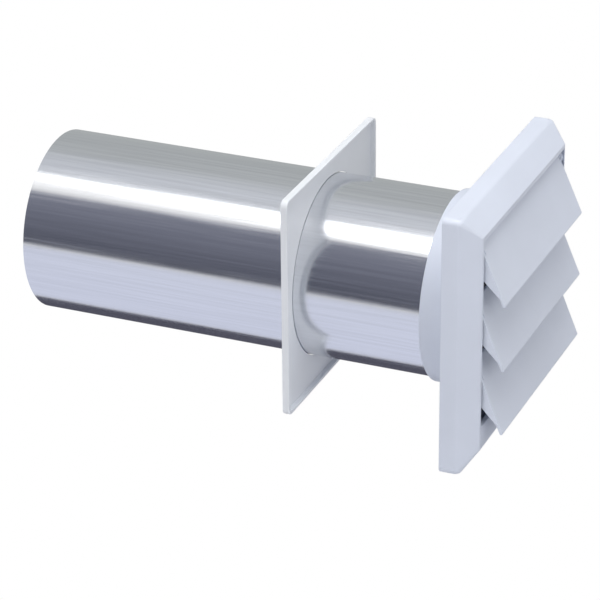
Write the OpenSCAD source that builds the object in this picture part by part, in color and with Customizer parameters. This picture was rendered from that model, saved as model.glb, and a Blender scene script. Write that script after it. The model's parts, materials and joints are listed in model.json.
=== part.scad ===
// Louvred wall vent for a 4 inch duct, in millimetres.
// Square hood with three swinging louvres, aluminium tail pipe, sliding wall plate.
// Origin: centre of the hood's back face, on the duct's axis. +Y runs into the wall
// along the tail pipe, the louvres face -Y, +Z is up.

/* [Duct] */
// Outside diameter of the tail pipe
pipe_d = 101.6; // [80:0.1:112]
// Thickness of the pipe's sheet
pipe_wall = 0.4; // [0.3:0.05:1]
// Length of the tail pipe
pipe_len = 255; // [150:1:400]
// Radial clearance between the pipe and the hood's collar
collar_gap = 0.15; // [0.05:0.05:0.3]
// Length of the collar behind the hood
collar_len = 20; // [12:1:30]
// Wall thickness of the collar
collar_wall = 2; // [1.5:0.1:3]
// How far the pipe's seat reaches inwards from the pipe's outside
seat_lip = 1.6; // [1.2:0.1:3]

/* [Hood] */
// Width and height of the hood's back face
hood_w = 148; // [142:1:170]
// Depth of the straight rim round the back
rim_d = 10; // [8:0.5:12]
// Depth of the hood from the wall to its front edge
hood_d = 20; // [18:0.5:24]
// How far each side leans in between the rim and the front edge
side_lean = 3.8; // [2:0.1:5]
// How far the top slopes down to the front edge
top_slope = 14; // [11:0.5:16]
// How far the bottom slopes up to the front edge
bottom_slope = 19; // [15:0.5:20]
// Wall thickness of the hood
hood_wall = 2.2; // [1.8:0.1:2.6]
// Thickness of the hood's back
back_t = 2.2; // [1.8:0.1:3]
// Radius of the rim's corners and edges
corner_r = 3.5; // [3:0.5:5]
// Radius of the front corners
front_r = 1.5; // [1:0.25:2]
// Height of the upright sill under the bottom louvre
sill_h = 8.5; // [6:0.5:10]

/* [Wall screws] */
// Distance between the screw holes across the hood
screw_dx = 116; // [112:1:120]
// Distance between the screw holes up the hood
screw_dz = 80; // [76:1:84]
// Diameter of the screw holes
screw_d = 4.6; // [3.5:0.1:6]
// Radius of the raised pad round each screw hole
pad_r = 5.5; // [4.5:0.5:6]
// Height of the screw pads and of the ring round the duct
pad_h = 1.2; // [0.8:0.1:1.6]
// Width of the raised ring round the duct opening
ring_w = 2; // [1:0.5:3]

/* [Louvres] */
// Slope of a louvre's face above the horizontal
face_slope = 67; // [64:0.5:70]
// Slope of the lower edge of a louvre's ends
heel_slope = 46; // [40:1:50]
// How far the heel lies in front of the pivot
heel_lead = 0.8; // [0:0.1:2]
// How far the louvres' upper edges lie behind the hood's front edge
louvre_in = 4.42; // [4:0.01:5.5]
// Upright clearance between the top louvre's upper edge and the hood's sloping top
tuck_gap = 0.888; // [0.6:0.001:1.5]
// Height by which each louvre's lower edge overlaps what is below it
louvre_lap = 1.5; // [0.5:0.5:2.5]
// Thickness of a louvre's face
face_t = 1.8; // [1.4:0.1:2]
// Thickness of a louvre's ends
end_t = 1.6; // [1.2:0.1:2.4]
// Clearance between a louvre's end and the side of the opening
end_gap = 0.5; // [0.4:0.05:1]

/* [Pivots] */
// Diameter of the pivot pins
pin_d = 3.2; // [2.4:0.1:3.6]
// Radial clearance of a pivot pin in its hole
pin_gap = 0.08; // [0.04:0.01:0.1]
// Length of a pivot pin beyond the louvre's end
pin_len = 2.1; // [1.5:0.1:2.4]
// Distance of the pivots below the louvre's upper edge
pin_drop = 6.7; // [6.5:0.1:7.2]
// Distance of the pivots behind the louvre's face, measured level
pin_back = 3.2; // [3:0.1:3.4]
// Radius of the hub round a pivot pin
hub_r = 3; // [2.6:0.1:3]
// Radius of the bearing boss in the hood
boss_r = 3.6; // [3.2:0.1:4]
// Clearance between a louvre's end and its bearing boss
boss_gap = 0.3; // [0.2:0.05:0.4]
// Radius of the stop pegs
peg_r = 1.5; // [1:0.1:2]
// Clearance between a resting louvre and its stop peg
peg_gap = 0.25; // [0.1:0.05:0.4]
// Distance of a stop peg up from the louvre's heel
peg_up = 3.5; // [3:0.5:8]
// How far a stop peg reaches in behind the louvre's end
peg_reach = 1.3; // [0.8:0.1:1.5]

/* [Wall plate] */
// Width and height of the wall plate
plate_w = 128; // [122:1:150]
// Sheet thickness of the plate and its rim
plate_t = 1.8; // [1.2:0.1:3]
// Depth of the plate's rim, with the sheet
plate_rim = 5.5; // [4:0.5:8]
// Radius of the plate's corners
plate_r = 4; // [3:0.5:8]
// Radial clearance of the plate on the pipe
plate_gap = 0.4; // [0.2:0.05:0.8]
// Distance of the plate's inner face from the hood's back
plate_y = 93.5; // [50:1:140]

/* [Hidden] */
$fn = 96;
hull_fn = 32;
eps = 0.01;
white = [0.88, 0.9, 0.94];
metal = [0.76, 0.77, 0.79];
pipe_r = pipe_d / 2;
half = hood_w / 2;
run = hood_d - rim_d;
front_half = half - side_lean;
front_top = half - top_slope;
front_bottom = -half + bottom_slope;
// A sloping wall measured along the axis it leans over
function level_wall(drop) = hood_wall * sqrt(run * run + drop * drop) / run;
// Depth at which a sloping wall's inner face leaves the rim's inner face
function inner_rim(drop) = rim_d - (level_wall(drop) - hood_wall) * run / drop;
open_half = front_half - level_wall(side_lean);
open_top = front_top - level_wall(top_slope);
cavity_bottom = front_bottom + level_wall(bottom_slope);
open_bottom = front_bottom + sill_h;
cavity_d = min([inner_rim(side_lean), inner_rim(top_slope), inner_rim(bottom_slope)]);
lip_bore_r = pipe_r - seat_lip;
// The top louvre reaches up behind the front edge, to its clearance from the sloping top
louvre_tuck = louvre_in * top_slope / run - tuck_gap;
// The louvres share the height between the sill and the tucked upper edge
louvre_n = 3;
louvre_pitch = (open_top + louvre_tuck - open_bottom) / louvre_n;
louvre_h = louvre_pitch + louvre_lap;
louvre_half = open_half - end_gap;
top_y = louvre_in - hood_d;
tip_y = top_y - louvre_h / tan(face_slope);
pin_y = top_y - pin_drop / tan(face_slope) + pin_back;
heel_y = pin_y - heel_lead;
heel_up = (heel_y - tip_y) * tan(heel_slope);
face_in = [sin(face_slope), -cos(face_slope)];
boss_x = louvre_half + boss_gap;
// Height of louvre i's lower edge and pivots, counted from the top
function tip_z(i) = open_bottom - louvre_lap + louvre_pitch * (louvre_n - 1 - i);
function pin_z(i) = tip_z(i) + louvre_h - pin_drop;
// Back edge of a louvre's end, from its heel to its hub, in the louvre's own outline
hub_back = [pin_y + hub_r, louvre_h - pin_drop];
heel = [heel_y, heel_up];
back_len = norm(hub_back - heel);
back_dir = (hub_back - heel) / back_len;
peg_at = heel + back_dir * peg_up + [back_dir[1], -back_dir[0]] * (peg_r + peg_gap);

// An outline in X and Z, extruded towards -Y from the plane at y
module forward(y, depth) {
    translate([0, y, 0])
        rotate([90, 0, 0])
            linear_extrude(depth)
                children();
}

// An outline in Y and Z, extruded along X from x0 to x1
module across(x0, x1) {
    translate([x0, 0, 0])
        rotate([90, 0, 90])
            linear_extrude(x1 - x0)
                children();
}

module rounded_square(w, r) {
    square([w - 2 * r, w], center = true);
    square([w, w - 2 * r], center = true);
    for (x = [-1, 1], z = [-1, 1])
        translate([x, z] * (w / 2 - r))
            circle(r);
}

// A tube round the Y axis, from y0 to y1
module ring(y0, y1, r_in, r_out) {
    rotate([-90, 0, 0])
        rotate_extrude()
            translate([r_in, y0])
                square([r_out - r_in, y1 - y0]);
}

// Outside of the hood: straight rim, then all four sides run in to the front edge
module hood_form() {
    hull() {
        forward(0, rim_d - corner_r / 2)
            rounded_square(hood_w, corner_r, $fn = hull_fn);
        for (x = [-1, 1], z = [-1, 1])
            translate([x * (half - corner_r), corner_r / 2 - rim_d, z * (half - corner_r)])
                sphere(corner_r * 0.98, $fn = hull_fn);
        for (x = [-1, 1], z = [front_bottom + front_r, front_top - front_r])
            translate([x * (front_half - front_r), front_r - hood_d, z])
                sphere(front_r, $fn = hull_fn);
    }
}

// Space inside the hood, up to the back of the front lip
module hood_cavity() {
    hull() {
        forward(-back_t, cavity_d - back_t)
            rounded_square(hood_w - 2 * hood_wall, corner_r - hood_wall / 2, $fn = hull_fn);
        forward(eps - hood_d, eps)
            translate([-open_half, cavity_bottom])
                square([2 * open_half, open_top - cavity_bottom]);
    }
}

module screw_spots() {
    for (x = [-1, 1], z = [-1, 1])
        translate([x * screw_dx / 2, z * screw_dz / 2])
            children();
}

// Bearing bosses and stop pegs on one side, pads and ring on the back
module hood_details() {
    for (s = [0, 1])
        mirror([s, 0, 0])
            for (i = [0:louvre_n - 1]) {
                translate([0, pin_y, pin_z(i)])
                    rotate([0, 90, 0])
                        translate([0, 0, boss_x])
                            cylinder(r = boss_r, h = half - boss_x);
                translate([0, peg_at[0], tip_z(i) + peg_at[1]])
                    rotate([0, 90, 0])
                        translate([0, 0, louvre_half - peg_reach])
                            cylinder(r = peg_r, h = half - louvre_half + peg_reach);
            }
    forward(eps - back_t, pad_h + eps)
        screw_spots()
            circle(pad_r);
    ring(-back_t - pad_h, eps - back_t, lip_bore_r, lip_bore_r + ring_w);
}

// Upright strip under the bottom louvre, closing the front of the cavity
module sill() {
    forward(hood_wall - hood_d, hood_wall)
        translate([-open_half, cavity_bottom - 1])
            square([2 * open_half, open_bottom - cavity_bottom + 1]);
}

module pivot_holes() {
    for (s = [0, 1], i = [0:louvre_n - 1])
        mirror([s, 0, 0])
            translate([boss_x - 1, pin_y, pin_z(i)])
                rotate([0, 90, 0])
                    cylinder(r = pin_d / 2 + pin_gap, h = pin_len + 1);
}

// One moulding: collar, back, sloping walls, sill, bearings and stops
module hood_body() {
    color(white)
        difference() {
            union() {
                hood_form();
                ring(0, collar_len, pipe_r + collar_gap, pipe_r + collar_gap + collar_wall);
            }
            difference() {
                hood_cavity();
                hood_details();
                sill();
            }
            pivot_holes();
            forward(1, back_t + pad_h + 2)
                screw_spots()
                    circle(screw_d / 2);
            ring(-back_t - pad_h - 1, 1, 0, lip_bore_r);
        }
}

module tail_pipe() {
    color(metal)
        ring(0, pipe_len, pipe_r - pipe_wall, pipe_r);
}

// Shallow pan with its rim turned towards the wall, loose on the pipe
module wall_plate() {
    color(white)
        difference() {
            forward(plate_y, plate_rim)
                rounded_square(plate_w, plate_r);
            forward(plate_y - plate_t, plate_rim)
                rounded_square(plate_w - 2 * plate_t, plate_r - plate_t);
            ring(plate_y - plate_rim - 1, plate_y + 1, 0, pipe_r + plate_gap);
        }
}

// Outline of the face: a sheet with rounded upper and lower edges
module face_outline() {
    low = [tip_y, 0];
    high = [top_y, louvre_h];
    polygon([low, high, high + face_in * face_t, low + face_in * face_t]);
    for (edge = [low, high])
        translate(edge + face_in * face_t / 2)
            circle(face_t / 2);
}

// Outline of an end: a wedge from the lower edge back to the heel and hub
module end_outline() {
    polygon([
        [tip_y, 0],
        [top_y, louvre_h],
        [top_y, louvre_h] + face_in * face_t,
        hub_back,
        heel
    ]);
    translate([pin_y, louvre_h - pin_drop])
        circle(hub_r);
}

// One louvre moulding with its two ends and pivot pins
module louvre(i) {
    color(white)
        translate([0, 0, tip_z(i)]) {
            across(-louvre_half, louvre_half)
                face_outline();
            across(-louvre_half, end_t - louvre_half)
                end_outline();
            across(louvre_half - end_t, louvre_half)
                end_outline();
            translate([-louvre_half - pin_len, pin_y, louvre_h - pin_drop])
                rotate([0, 90, 0])
                    cylinder(r = pin_d / 2, h = pin_len + end_t);
            translate([louvre_half - end_t, pin_y, louvre_h - pin_drop])
                rotate([0, 90, 0])
                    cylinder(r = pin_d / 2, h = pin_len + end_t);
        }
}

module louvre_top() {
    louvre(0);
}

module louvre_middle() {
    louvre(1);
}

module louvre_bottom() {
    louvre(2);
}

hood_body();
tail_pipe();
wall_plate();
louvre_top();
louvre_middle();
louvre_bottom();
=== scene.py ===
"""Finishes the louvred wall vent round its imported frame: white mouldings with refined walls and
soft edges, a spun tail pipe of bright duct metal, a plain pale stage and the photo's viewpoint."""

import json
import math

import bmesh
import bpy
from mathutils import Matrix, Vector


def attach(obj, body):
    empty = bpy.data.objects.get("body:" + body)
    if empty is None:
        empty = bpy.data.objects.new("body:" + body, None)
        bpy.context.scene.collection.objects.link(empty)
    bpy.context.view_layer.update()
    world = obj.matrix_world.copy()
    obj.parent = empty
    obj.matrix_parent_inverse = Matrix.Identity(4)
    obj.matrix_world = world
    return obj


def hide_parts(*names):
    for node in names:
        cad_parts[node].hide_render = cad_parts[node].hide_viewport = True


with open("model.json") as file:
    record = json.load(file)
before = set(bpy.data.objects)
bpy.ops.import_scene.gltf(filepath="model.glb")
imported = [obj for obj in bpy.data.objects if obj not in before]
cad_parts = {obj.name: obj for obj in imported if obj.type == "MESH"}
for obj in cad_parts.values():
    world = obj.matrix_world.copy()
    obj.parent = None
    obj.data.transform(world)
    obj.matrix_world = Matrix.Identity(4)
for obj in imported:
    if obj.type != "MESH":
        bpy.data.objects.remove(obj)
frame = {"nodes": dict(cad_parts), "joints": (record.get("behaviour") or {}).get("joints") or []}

bl_info = {
    "name": "Louvred wall vent",
    "version": (1, 0, 0),
    "blender": (4, 5, 0),
    "location": "View3D > Sidebar > Wall vent",
    "description": "Builds the finished pieces of a louvred wall vent and its stage",
    "category": "Object",
}

MM = 0.001
MERGE = 0.000001
FLAT = math.radians(0.5)
SHARP_EDGE = math.radians(30)

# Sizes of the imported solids, in millimetres
SOLID_RIM = 10
SOLID_DEPTH = 20
SOLID_FRONT_HALF = 70.2
SOLID_OPEN_HALF = 67.847
SOLID_OPEN_TOP = 56.215
SOLID_CAVITY_BOTTOM = -50.276
SOLID_SILL_TOP = -46.5
SOLID_SILL_BACK = -17.8
SOLID_LOUVRE_HALF = 67.347
SOLID_TIP_DROP = 30.805
SOLID_PLATE_HALF = 64
SOLID_PLATE_RIM = 5.5
SOLID_PLATE_BACK = 93.5
SOLID_PLATE_HOLE = 51.2
PIPE_R = 50.8
PIPE_WALL = 0.4
PIPE_LEN = 255

# How the inner faces of the hood's walls lean, in millimetres for each millimetre of depth
SIDE_LEAN = 0.349
TOP_LEAN = 1.3758
BOTTOM_LEAN = 1.9001

# Where the hood's bearings and stop pegs lie: beyond BEARING_X and clear of the side wall by
# BEARING_CLEAR, with their depth between the front lip and the back of the cavity
BEARING_X = 60
BEARING_CLEAR = 0.25
BEARING_FRONT = -19.5
BEARING_BACK = -8.7
ON_FACE = 0.1
HOLE_EDGE = 0.5

# Finished places, in millimetres
PIVOTS = {
    joint["child"]: joint["pos_m"][2] / MM for joint in frame["joints"] if joint["type"] == "hinge"
}
LOUVRE_TIPS = {"louvre_top": 25.44, "louvre_middle": -11.78, "louvre_bottom": -49.0}
PIN_STRETCH = 2.05
PLATE_BACK = 94

# Curved studio cards round the pipe: name, radius in metres, first and last angle in degrees from
# straight up towards -X, and colours from the lowest to the highest point of the card's circle
CARDS = (
    ("dark_card", 1.2, 35, 103, ((0.38, (0.08, 0.085, 0.115)), (0.92, (0.21, 0.22, 0.28)))),
    ("grey_card", 1.2, -110, 13, (
        (0.2, (0.42, 0.44, 0.44)), (0.93, (0.45, 0.47, 0.48)), (1.0, (0.58, 0.6, 0.65)),
    )),
    ("pale_card", 0.5, 104, 186, ((0.0, (0.68, 0.71, 0.85)), (0.4, (0.7, 0.73, 0.86)))),
    ("low_card", 0.5, 187, 249, ((0.0, (0.08, 0.08, 0.11)), (0.4, (0.1, 0.1, 0.13)))),
)
CARD_ENDS = (-1.0, 5.0)
CARD_STEPS = 24

# Lamps: name, place, target and side in metres, power in watts, and whether gloss shows them
LAMPS = (
    ("ceiling", (-0.2, 0.2, 1.5), (0, 0.05, 0), 1.3, 14.5, True),
    ("front_fill", (-1.0, -1.7, 0.9), (0, 0, 0), 1.4, 15, True),
    ("side_fill", (-1.5, 0.8, 0.0), (0, 0.05, 0), 1.2, 5, False),
)

# The room's light by height, from straight down to straight up
ROOM = (
    (0.0, (0.8, 0.8, 0.84)),
    (0.46, (0.62, 0.62, 0.66)),
    (0.52, (0.1, 0.1, 0.12)),
    (0.8, (0.2, 0.2, 0.22)),
    (0.93, (0.9, 0.9, 0.92)),
    (1.0, (1.0, 1.0, 1.0)),
)
FLOOR_HALF = 6


def add_node(tree, kind, inputs=None, **attributes):
    """A new shader node, with its attributes and the values of its inputs."""
    made = tree.nodes.new(kind)
    for name, value in attributes.items():
        setattr(made, name, value)
    for name, value in (inputs or {}).items():
        made.inputs[name].default_value = value
    return made


def shader_material(name):
    """A material that holds one Principled shader, and that shader."""
    made = bpy.data.materials.new(name)
    made.use_nodes = True
    made.node_tree.nodes.clear()
    shader = add_node(made.node_tree, "ShaderNodeBsdfPrincipled")
    out = add_node(made.node_tree, "ShaderNodeOutputMaterial")
    made.node_tree.links.new(shader.outputs["BSDF"], out.inputs["Surface"])
    return made, made.node_tree, shader


def stretched_noise(tree, stretch, **settings):
    """Noise on the piece's own coordinates, stretched along the axes by the given scales."""
    where = add_node(tree, "ShaderNodeTexCoord")
    mapping = add_node(tree, "ShaderNodeMapping", {"Scale": stretch})
    noise = add_node(tree, "ShaderNodeTexNoise", settings)
    tree.links.new(where.outputs["Object"], mapping.inputs["Vector"])
    tree.links.new(mapping.outputs["Vector"], noise.inputs["Vector"])
    return noise.outputs["Fac"]


def ramp(tree, factor, stops):
    """A colour ramp through (position, colour) stops."""
    made = add_node(tree, "ShaderNodeValToRGB")
    points = made.color_ramp.elements
    for index, (position, colour) in enumerate(stops):
        point = points[index] if index < len(points) else points.new(position)
        point.position = position
        point.color = (*colour, 1.0)
    tree.links.new(factor, made.inputs["Fac"])
    return made.outputs["Color"]


def spread(tree, factor, low, high):
    """The factor's range from 0.3 to 0.7, mapped to low and high."""
    limits = {"From Min": 0.3, "From Max": 0.7, "To Min": low, "To Max": high}
    made = add_node(tree, "ShaderNodeMapRange", limits)
    tree.links.new(factor, made.inputs["Value"])
    return made.outputs["Result"]


def bump(tree, height, distance, strength, under=None):
    """A normal raised by the height, over the normal under it."""
    made = add_node(tree, "ShaderNodeBump", {"Distance": distance, "Strength": strength})
    tree.links.new(height, made.inputs["Height"])
    if under is not None:
        tree.links.new(under, made.inputs["Normal"])
    return made.outputs["Normal"]


def moulded_plastic(name, colour, roughness):
    """Satin plastic: slow drifts of tone, a fine texture from the mould and a soft gloss."""
    made, tree, shader = shader_material(name)
    drift = stretched_noise(tree, (1, 1, 1), Scale=22.0, Detail=3.0)
    darker = [channel * 0.965 for channel in colour]
    tone = ramp(tree, drift, [(0.35, darker), (0.65, colour)])
    tree.links.new(tone, shader.inputs["Base Color"])
    cloud = stretched_noise(tree, (1, 1, 1), Scale=60.0, Detail=4.0)
    gloss = spread(tree, cloud, roughness - 0.05, roughness + 0.05)
    tree.links.new(gloss, shader.inputs["Roughness"])
    grain = stretched_noise(tree, (1, 1, 1), Scale=1600.0, Detail=2.0)
    flow = stretched_noise(tree, (1, 1, 1), Scale=26.0, Detail=1.0)
    soft = bump(tree, flow, 0.0003, 0.25)
    tree.links.new(bump(tree, grain, 0.00003, 0.35, soft), shader.inputs["Normal"])
    shader.inputs["IOR"].default_value = 1.5
    return made


def bright_aluminium(name, colour, roughness):
    """Bright rolled sheet: mirror-like across, drawn out into fine lines along the pipe."""
    made, tree, shader = shader_material(name)
    shader.inputs["Metallic"].default_value = 1.0
    streaks = stretched_noise(tree, (1, 0.012, 1), Scale=900.0, Detail=4.0)
    darker = [channel * 0.93 for channel in colour]
    tone = ramp(tree, streaks, [(0.35, darker), (0.62, colour)])
    tree.links.new(tone, shader.inputs["Base Color"])
    gloss = spread(tree, streaks, roughness - 0.04, roughness + 0.05)
    tree.links.new(gloss, shader.inputs["Roughness"])
    sheet = stretched_noise(tree, (1, 0.5, 1), Scale=14.0, Detail=2.0)
    waves = bump(tree, sheet, 0.0006, 0.3)
    tree.links.new(bump(tree, streaks, 0.00002, 0.3, waves), shader.inputs["Normal"])
    return made


def dress(piece, material):
    """Gives the piece this one material."""
    piece.data.materials.clear()
    piece.data.materials.append(material)


class VentFinish(bpy.types.PropertyGroup):
    """Colours and gloss of the vent's plastics and metal."""

    plastic: bpy.props.FloatVectorProperty(
        name="Plastic", description="Colour of the white mouldings", subtype="COLOR",
        size=3, min=0, max=1, default=(0.7, 0.745, 0.84),
    )
    plate: bpy.props.FloatVectorProperty(
        name="Plate", description="Colour of the wall plate's plastic", subtype="COLOR",
        size=3, min=0, max=1, default=(0.81, 0.835, 0.865),
    )
    plastic_roughness: bpy.props.FloatProperty(
        name="Plastic roughness", description="Roughness of the mouldings",
        min=0.1, max=0.9, default=0.42, subtype="FACTOR",
    )
    metal: bpy.props.FloatVectorProperty(
        name="Metal", description="Colour of the tail pipe", subtype="COLOR",
        size=3, min=0, max=1, default=(0.83, 0.84, 0.86),
    )
    metal_roughness: bpy.props.FloatProperty(
        name="Metal roughness", description="Roughness of the tail pipe",
        min=0.02, max=0.6, default=0.17, subtype="FACTOR",
    )


class VentShape(bpy.types.PropertyGroup):
    """Sizes of the finished mouldings where the photograph asks for others than the solids have."""

    front_half: bpy.props.FloatProperty(
        name="Front half width", description="Half the width of the hood's front edge",
        default=0.0665, unit="LENGTH",
    )
    front_rise: bpy.props.FloatProperty(
        name="Front rise", description="How far the hood's front edge stands above the solid's",
        default=0.0042, unit="LENGTH",
    )
    front_drop: bpy.props.FloatProperty(
        name="Front drop", description="How far the hood's front edge reaches below the solid's",
        default=0.0065, unit="LENGTH",
    )
    sill_drop: bpy.props.FloatProperty(
        name="Sill drop", description="How far the sill lies below the solid's",
        default=0.001, unit="LENGTH",
    )
    louvre_half: bpy.props.FloatProperty(
        name="Louvre half width", description="Half the width of a louvre",
        default=0.0633, unit="LENGTH",
    )
    plate_half: bpy.props.FloatProperty(
        name="Plate half width", description="Half the width of the wall plate",
        default=0.0635, unit="LENGTH",
    )
    plate_rim: bpy.props.FloatProperty(
        name="Plate rim", description="Depth of the wall plate's rim",
        default=0.004, unit="LENGTH",
    )
    soft_edge: bpy.props.FloatProperty(
        name="Soft edge", description="Width of the rounding on the mouldings' edges",
        default=0.0004, unit="LENGTH",
    )
    pipe_steps: bpy.props.IntProperty(
        name="Pipe steps", description="Steps round the tail pipe", default=192, min=24,
    )


class VentStage(bpy.types.PropertyGroup):
    """Viewpoint, floor and light."""

    azimuth: bpy.props.FloatProperty(
        name="Azimuth", description="Direction of the camera round the vent",
        default=math.radians(-66.886), subtype="ANGLE",
    )
    elevation: bpy.props.FloatProperty(
        name="Elevation", description="Height of the camera above the horizon",
        default=math.radians(26.124), subtype="ANGLE",
    )
    roll: bpy.props.FloatProperty(
        name="Roll", description="Turn of the camera about its own line of sight",
        default=math.radians(-0.548), subtype="ANGLE",
    )
    distance: bpy.props.FloatProperty(
        name="Distance", description="Distance of the camera from the hood's back",
        default=1.61598, unit="LENGTH",
    )
    aim_right: bpy.props.FloatProperty(
        name="Aim to the right", description="How far the camera stands to its right of the hood",
        default=-0.10127, unit="LENGTH",
    )
    aim_up: bpy.props.FloatProperty(
        name="Aim upwards", description="How far the camera stands above the hood in its own view",
        default=-0.0049, unit="LENGTH",
    )
    lens: bpy.props.FloatProperty(
        name="Lens", description="Focal length for a 36 mm sensor", default=180.0, min=20, max=400,
    )
    floor_drop: bpy.props.FloatProperty(
        name="Floor drop", description="Depth of the floor below the duct's axis",
        default=1.0, unit="LENGTH",
    )


def keep_mesh(work, name):
    """The bmesh as a new object, smooth but for its sharp edges."""
    mesh = bpy.data.meshes.new(name)
    work.to_mesh(mesh)
    work.free()
    mesh.shade_smooth()
    mesh.set_sharp_from_angle(angle=SHARP_EDGE)
    made = bpy.data.objects.new(name, mesh)
    bpy.context.scene.collection.objects.link(made)
    return made


def flat_faces(piece):
    """Keeps large faces flat in their shading, and turns it in the narrow edges between them."""
    weigh = piece.modifiers.new("flat_faces", "WEIGHTED_NORMAL")
    weigh.weight = 100
    weigh.keep_sharp = True


def refined_moulding(name, node, refit, soft_edge):
    """A merged copy of a solid, moved point by point to its finished sizes, with softened edges."""
    work = bmesh.new()
    work.from_mesh(frame["nodes"][node].data)
    bmesh.ops.remove_doubles(work, verts=work.verts, dist=MERGE)
    bmesh.ops.dissolve_limit(work, angle_limit=FLAT, verts=work.verts, edges=work.edges)
    for vert in work.verts:
        vert.co = Vector(refit(*(vert.co / MM))) * MM
    edges = [edge for edge in work.edges if edge.calc_face_angle(0) > SHARP_EDGE]
    bmesh.ops.bevel(
        work, geom=edges, offset=soft_edge, segments=2, profile=0.5,
        affect="EDGES", material=-1, clamp_overlap=False,
    )
    return keep_mesh(work, name)


def refit_hood(shape):
    """Leans the hood's walls as the photograph shows, and brings its bearings in to the louvres."""
    narrow = 1 - shape.front_half / MM / SOLID_FRONT_HALF
    inwards = shape.louvre_half / MM / SOLID_LOUVRE_HALF
    rise = shape.front_rise / MM
    drop = shape.front_drop / MM
    sill = shape.sill_drop / MM

    def refit(x, y, z):
        forward = min(max((-y - SOLID_RIM) / (SOLID_DEPTH - SOLID_RIM), 0), 1)
        into = max(y + SOLID_DEPTH, 0)
        inside_wall = SOLID_OPEN_HALF + into * SIDE_LEAN
        beside_wall = BEARING_X < abs(x) < inside_wall - BEARING_CLEAR
        bearing = beside_wall and BEARING_FRONT < y < BEARING_BACK
        x *= inwards if bearing else 1 - narrow * forward
        if not bearing and forward > 0:
            if z > SOLID_OPEN_TOP + into * TOP_LEAN - ON_FACE:
                z += rise * forward
            elif z < SOLID_CAVITY_BOTTOM - into * BOTTOM_LEAN + ON_FACE:
                z -= drop * forward
            elif y < SOLID_SILL_BACK + ON_FACE and z < SOLID_SILL_TOP + ON_FACE:
                z -= sill
        return x, y, z

    return refit


def refit_louvre(shape, node):
    """Narrows a louvre to the finished opening and sets the height of its lower edge."""
    pivot = PIVOTS[node]
    inwards = shape.louvre_half / MM / SOLID_LOUVRE_HALF
    stretch = (pivot - LOUVRE_TIPS[node]) / SOLID_TIP_DROP

    def refit(x, y, z):
        beyond = max(abs(x) - SOLID_LOUVRE_HALF, 0)
        x = math.copysign((abs(x) - beyond) * inwards + beyond * PIN_STRETCH, x)
        return x, y, pivot + (z - pivot) * stretch

    return refit


def refit_plate(shape):
    """Gives the wall plate its thinner sheet and shallower rim, and keeps the hole."""
    shrink = shape.plate_half / MM / SOLID_PLATE_HALF
    thin = shape.plate_rim / MM / SOLID_PLATE_RIM

    def refit(x, y, z):
        scale = shrink if math.hypot(x, z) > SOLID_PLATE_HOLE + HOLE_EDGE else 1
        return x * scale, PLATE_BACK - (SOLID_PLATE_BACK - y) * thin, z * scale

    return refit


def finish_moulding(context, name, node, refit, body, slot):
    """Makes one moulding in place of its solid, in the plastic of its own kind."""
    finish = context.scene.vent_finish
    piece = refined_moulding(name, node, refit, context.scene.vent_shape.soft_edge)
    if slot == "plate_plastic":
        look, colour = "plate_white", finish.plate
    else:
        look, colour = "vent_white", finish.plastic
    made = bpy.data.materials.get(look)
    dress(piece, made or moulded_plastic(look, colour, finish.plastic_roughness))
    flat_faces(piece)
    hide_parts(node)
    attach(piece, body)


class VENT_OT_hood(bpy.types.Operator):
    """Makes the hood with its sloping frame, sill, collar, bearings and stops"""

    bl_idname = "vent.hood"
    bl_label = "Hood"

    def execute(self, context):
        shape = context.scene.vent_shape
        refit = refit_hood(shape)
        finish_moulding(context, "hood", "hood_body", refit, "hood", "hood_plastic")
        return {"FINISHED"}


class VENT_OT_louvres(bpy.types.Operator):
    """Makes the three swinging louvres with their wedge-shaped ends and pivot pins"""

    bl_idname = "vent.louvres"
    bl_label = "Louvres"

    def execute(self, context):
        shape = context.scene.vent_shape
        for node in LOUVRE_TIPS:
            refit = refit_louvre(shape, node)
            finish_moulding(context, node + "_flap", node, refit, node, "louvre_plastic")
        return {"FINISHED"}


class VENT_OT_wall_plate(bpy.types.Operator):
    """Makes the wall plate that slides on the tail pipe"""

    bl_idname = "vent.wall_plate"
    bl_label = "Wall plate"

    def execute(self, context):
        shape = context.scene.vent_shape
        refit = refit_plate(shape)
        finish_moulding(context, "square_plate", "wall_plate", refit, "wall_plate", "plate_plastic")
        return {"FINISHED"}


class VENT_OT_tail_pipe(bpy.types.Operator):
    """Spins the tail pipe out of thin bright aluminium sheet"""

    bl_idname = "vent.tail_pipe"
    bl_label = "Tail pipe"

    def execute(self, context):
        finish = context.scene.vent_finish
        work = bmesh.new()
        bore = PIPE_R - PIPE_WALL
        corners = ((bore, 0), (PIPE_R, 0), (PIPE_R, PIPE_LEN), (bore, PIPE_LEN))
        section = [work.verts.new((radius * MM, along * MM, 0)) for radius, along in corners]
        sides = [work.edges.new((section[i - 1], section[i])) for i in range(len(section))]
        bmesh.ops.spin(
            work, geom=section + sides, cent=(0, 0, 0), axis=(0, 1, 0), angle=math.tau,
            steps=context.scene.vent_shape.pipe_steps, use_merge=True, use_duplicate=False,
        )
        bmesh.ops.remove_doubles(work, verts=work.verts, dist=MERGE)
        bmesh.ops.recalc_face_normals(work, faces=work.faces)
        pipe = keep_mesh(work, "duct_pipe")
        dress(pipe, bright_aluminium("bright_aluminium", finish.metal, finish.metal_roughness))
        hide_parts("tail_pipe")
        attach(pipe, "hood")
        return {"FINISHED"}


def area_lamp(name, place, target, side, power, in_gloss):
    """A square soft lamp at place that faces target."""
    data = bpy.data.lights.new(name, "AREA")
    data.shape = "RECTANGLE"
    data.size = data.size_y = side
    data.energy = power
    lamp = bpy.data.objects.new(name, data)
    lamp.visible_glossy = in_gloss
    lamp.location = place
    lamp.rotation_mode = "QUATERNION"
    lamp.rotation_quaternion = (Vector(target) - Vector(place)).to_track_quat("-Z", "Y")
    bpy.context.scene.collection.objects.link(lamp)


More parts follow.
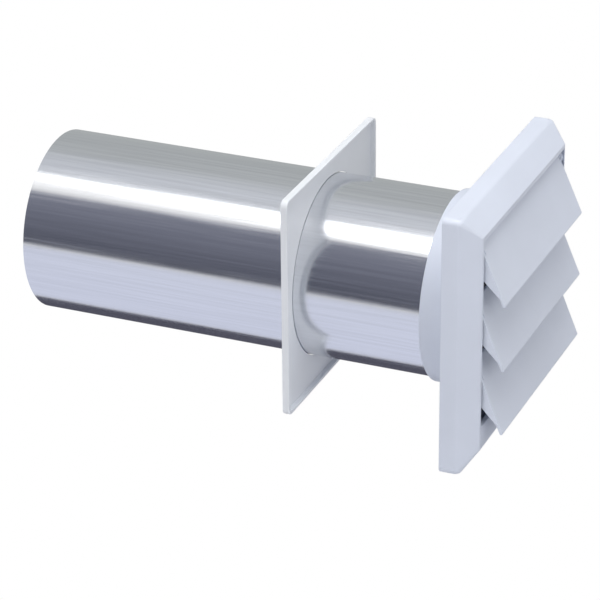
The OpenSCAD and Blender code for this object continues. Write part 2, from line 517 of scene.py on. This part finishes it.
def seen_directly(tree):
    """1 for what the camera, a mirror or a window sees, 0 for all other light."""
    rays = add_node(tree, "ShaderNodeLightPath")
    seen = rays.outputs["Is Camera Ray"]
    for kind in ("Is Glossy Ray", "Is Transmission Ray"):
        either = add_node(tree, "ShaderNodeMath", operation="MAXIMUM")
        tree.links.new(seen, either.inputs[0])
        tree.links.new(rays.outputs[kind], either.inputs[1])
        seen = either.outputs[0]
    return seen


def studio_card(name, radius, first, last, colours):
    """A curved card round the pipe, seen only in the metal, glowing in colours set by height."""
    work = bmesh.new()
    ends = [work.verts.new((0, along, radius)) for along in CARD_ENDS]
    edge = work.edges.new(ends)
    turn = Matrix.Rotation(-math.radians(first), 3, "Y")
    bmesh.ops.rotate(work, verts=ends, cent=(0, 0, 0), matrix=turn)
    bmesh.ops.spin(
        work, geom=[*ends, edge], cent=(0, 0, 0), axis=(0, -1, 0),
        angle=math.radians(last - first), steps=CARD_STEPS, use_merge=False, use_duplicate=False,
    )
    card = keep_mesh(work, name)
    made = bpy.data.materials.new(name)
    made.use_nodes = True
    tree = made.node_tree
    tree.nodes.clear()
    where = add_node(tree, "ShaderNodeTexCoord")
    split = add_node(tree, "ShaderNodeSeparateXYZ")
    tree.links.new(where.outputs["Object"], split.inputs["Vector"])
    height = add_node(tree, "ShaderNodeMapRange", {"From Min": -radius, "From Max": radius})
    tree.links.new(split.outputs["Z"], height.inputs["Value"])
    glow = add_node(tree, "ShaderNodeEmission")
    tree.links.new(ramp(tree, height.outputs["Result"], colours), glow.inputs["Color"])
    out = add_node(tree, "ShaderNodeOutputMaterial")
    tree.links.new(glow.outputs["Emission"], out.inputs["Surface"])
    dress(card, made)
    card.visible_camera = card.visible_diffuse = False
    card.visible_shadow = card.visible_transmission = False


def white_ground_material():
    """Plain white to the camera and in the metal, and a pale surface to all other light."""
    made, tree, shader = shader_material("pale_floor")
    shader.inputs["Base Color"].default_value = (0.8, 0.8, 0.81, 1)
    shader.inputs["Roughness"].default_value = 0.9
    seen = seen_directly(tree)
    glow = add_node(tree, "ShaderNodeEmission", {"Color": (1, 1, 1, 1), "Strength": 1.0})
    mix = add_node(tree, "ShaderNodeMixShader")
    out = next(n for n in tree.nodes if n.type == "OUTPUT_MATERIAL")
    tree.links.new(seen, mix.inputs["Fac"])
    tree.links.new(shader.outputs["BSDF"], mix.inputs[1])
    tree.links.new(glow.outputs["Emission"], mix.inputs[2])
    tree.links.new(mix.outputs["Shader"], out.inputs["Surface"])
    return made


def studio_world():
    """White behind the object; a room with a bright ceiling and dim walls lights it."""
    world = bpy.data.worlds.new("studio")
    bpy.context.scene.world = world
    world.use_nodes = True
    tree = world.node_tree
    tree.nodes.clear()
    where = add_node(tree, "ShaderNodeTexCoord")
    split = add_node(tree, "ShaderNodeSeparateXYZ")
    tree.links.new(where.outputs["Generated"], split.inputs["Vector"])
    height = add_node(tree, "ShaderNodeMapRange", {"From Min": -1.0, "From Max": 1.0})
    tree.links.new(split.outputs["Z"], height.inputs["Value"])
    room = ramp(tree, height.outputs["Result"], ROOM)
    light = add_node(tree, "ShaderNodeBackground", {"Strength": 1.0})
    tree.links.new(room, light.inputs["Color"])
    plain = add_node(tree, "ShaderNodeBackground", {"Color": (1, 1, 1, 1), "Strength": 1.0})
    mix = add_node(tree, "ShaderNodeMixShader")
    out = add_node(tree, "ShaderNodeOutputWorld")
    tree.links.new(seen_directly(tree), mix.inputs["Fac"])
    tree.links.new(light.outputs["Background"], mix.inputs[1])
    tree.links.new(plain.outputs["Background"], mix.inputs[2])
    tree.links.new(mix.outputs["Shader"], out.inputs["Surface"])


def place_camera(setting):
    """The photograph's viewpoint: round the hood's back by azimuth and elevation, then shifted."""
    a, e, r = setting.azimuth, setting.elevation, setting.roll
    back = Vector((math.sin(a) * math.cos(e), -math.cos(a) * math.cos(e), math.sin(e)))
    level = Vector((math.cos(a), math.sin(a), 0))
    upright = back.cross(level)
    right = math.cos(r) * level + math.sin(r) * upright
    up = -math.sin(r) * level + math.cos(r) * upright
    data = bpy.data.cameras.new("photo_view")
    data.sensor_width = 36
    data.lens = setting.lens
    data.clip_end = 20
    camera = bpy.data.objects.new("photo_view", data)
    spot = back * setting.distance + right * setting.aim_right + up * setting.aim_up
    turn = Matrix((right, up, back)).transposed().to_4x4()
    camera.matrix_world = Matrix.Translation(spot) @ turn
    bpy.context.scene.collection.objects.link(camera)
    bpy.context.scene.camera = camera


def lay_floor(drop):
    """A wide level floor below the duct's axis."""
    work = bmesh.new()
    bmesh.ops.create_grid(work, x_segments=1, y_segments=1, size=FLOOR_HALF)
    bmesh.ops.translate(work, verts=work.verts, vec=(0, 0, -drop))
    mesh = bpy.data.meshes.new("floor")
    work.to_mesh(mesh)
    work.free()
    floor = bpy.data.objects.new("floor", mesh)
    bpy.context.scene.collection.objects.link(floor)
    dress(floor, white_ground_material())


class VENT_OT_stage(bpy.types.Operator):
    """Lays the pale floor and sets up the camera, the room and the lamps"""

    bl_idname = "vent.stage"
    bl_label = "Stage"

    def execute(self, context):
        setting = context.scene.vent_stage
        place_camera(setting)
        studio_world()
        lay_floor(setting.floor_drop)
        for card in CARDS:
            studio_card(*card)
        for lamp in LAMPS:
            area_lamp(*lamp)
        context.scene.view_settings.view_transform = "Standard"
        return {"FINISHED"}


class VENT_PT_panel(bpy.types.Panel):
    """Lists the steps that finish the vent"""

    bl_label = "Louvred wall vent"
    bl_idname = "VENT_PT_panel"
    bl_space_type = "VIEW_3D"
    bl_region_type = "UI"
    bl_category = "Wall vent"

    def draw(self, context):
        for operator in OPERATORS:
            self.layout.operator(operator.bl_idname)


OPERATORS = (VENT_OT_hood, VENT_OT_louvres, VENT_OT_wall_plate, VENT_OT_tail_pipe, VENT_OT_stage)
CLASSES = (VentFinish, VentShape, VentStage, *OPERATORS, VENT_PT_panel)


def register():
    for item in CLASSES:
        bpy.utils.register_class(item)
    bpy.types.Scene.vent_finish = bpy.props.PointerProperty(type=VentFinish)
    bpy.types.Scene.vent_shape = bpy.props.PointerProperty(type=VentShape)
    bpy.types.Scene.vent_stage = bpy.props.PointerProperty(type=VentStage)


def unregister():
    del bpy.types.Scene.vent_finish
    del bpy.types.Scene.vent_shape
    del bpy.types.Scene.vent_stage
    for item in reversed(CLASSES):
        bpy.utils.unregister_class(item)


def main():
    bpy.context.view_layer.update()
    register()
    bpy.ops.vent.hood()
    bpy.ops.vent.louvres()
    bpy.ops.vent.wall_plate()
    bpy.ops.vent.tail_pipe()
    bpy.ops.vent.stage()


if __name__ == "__main__":
    main()
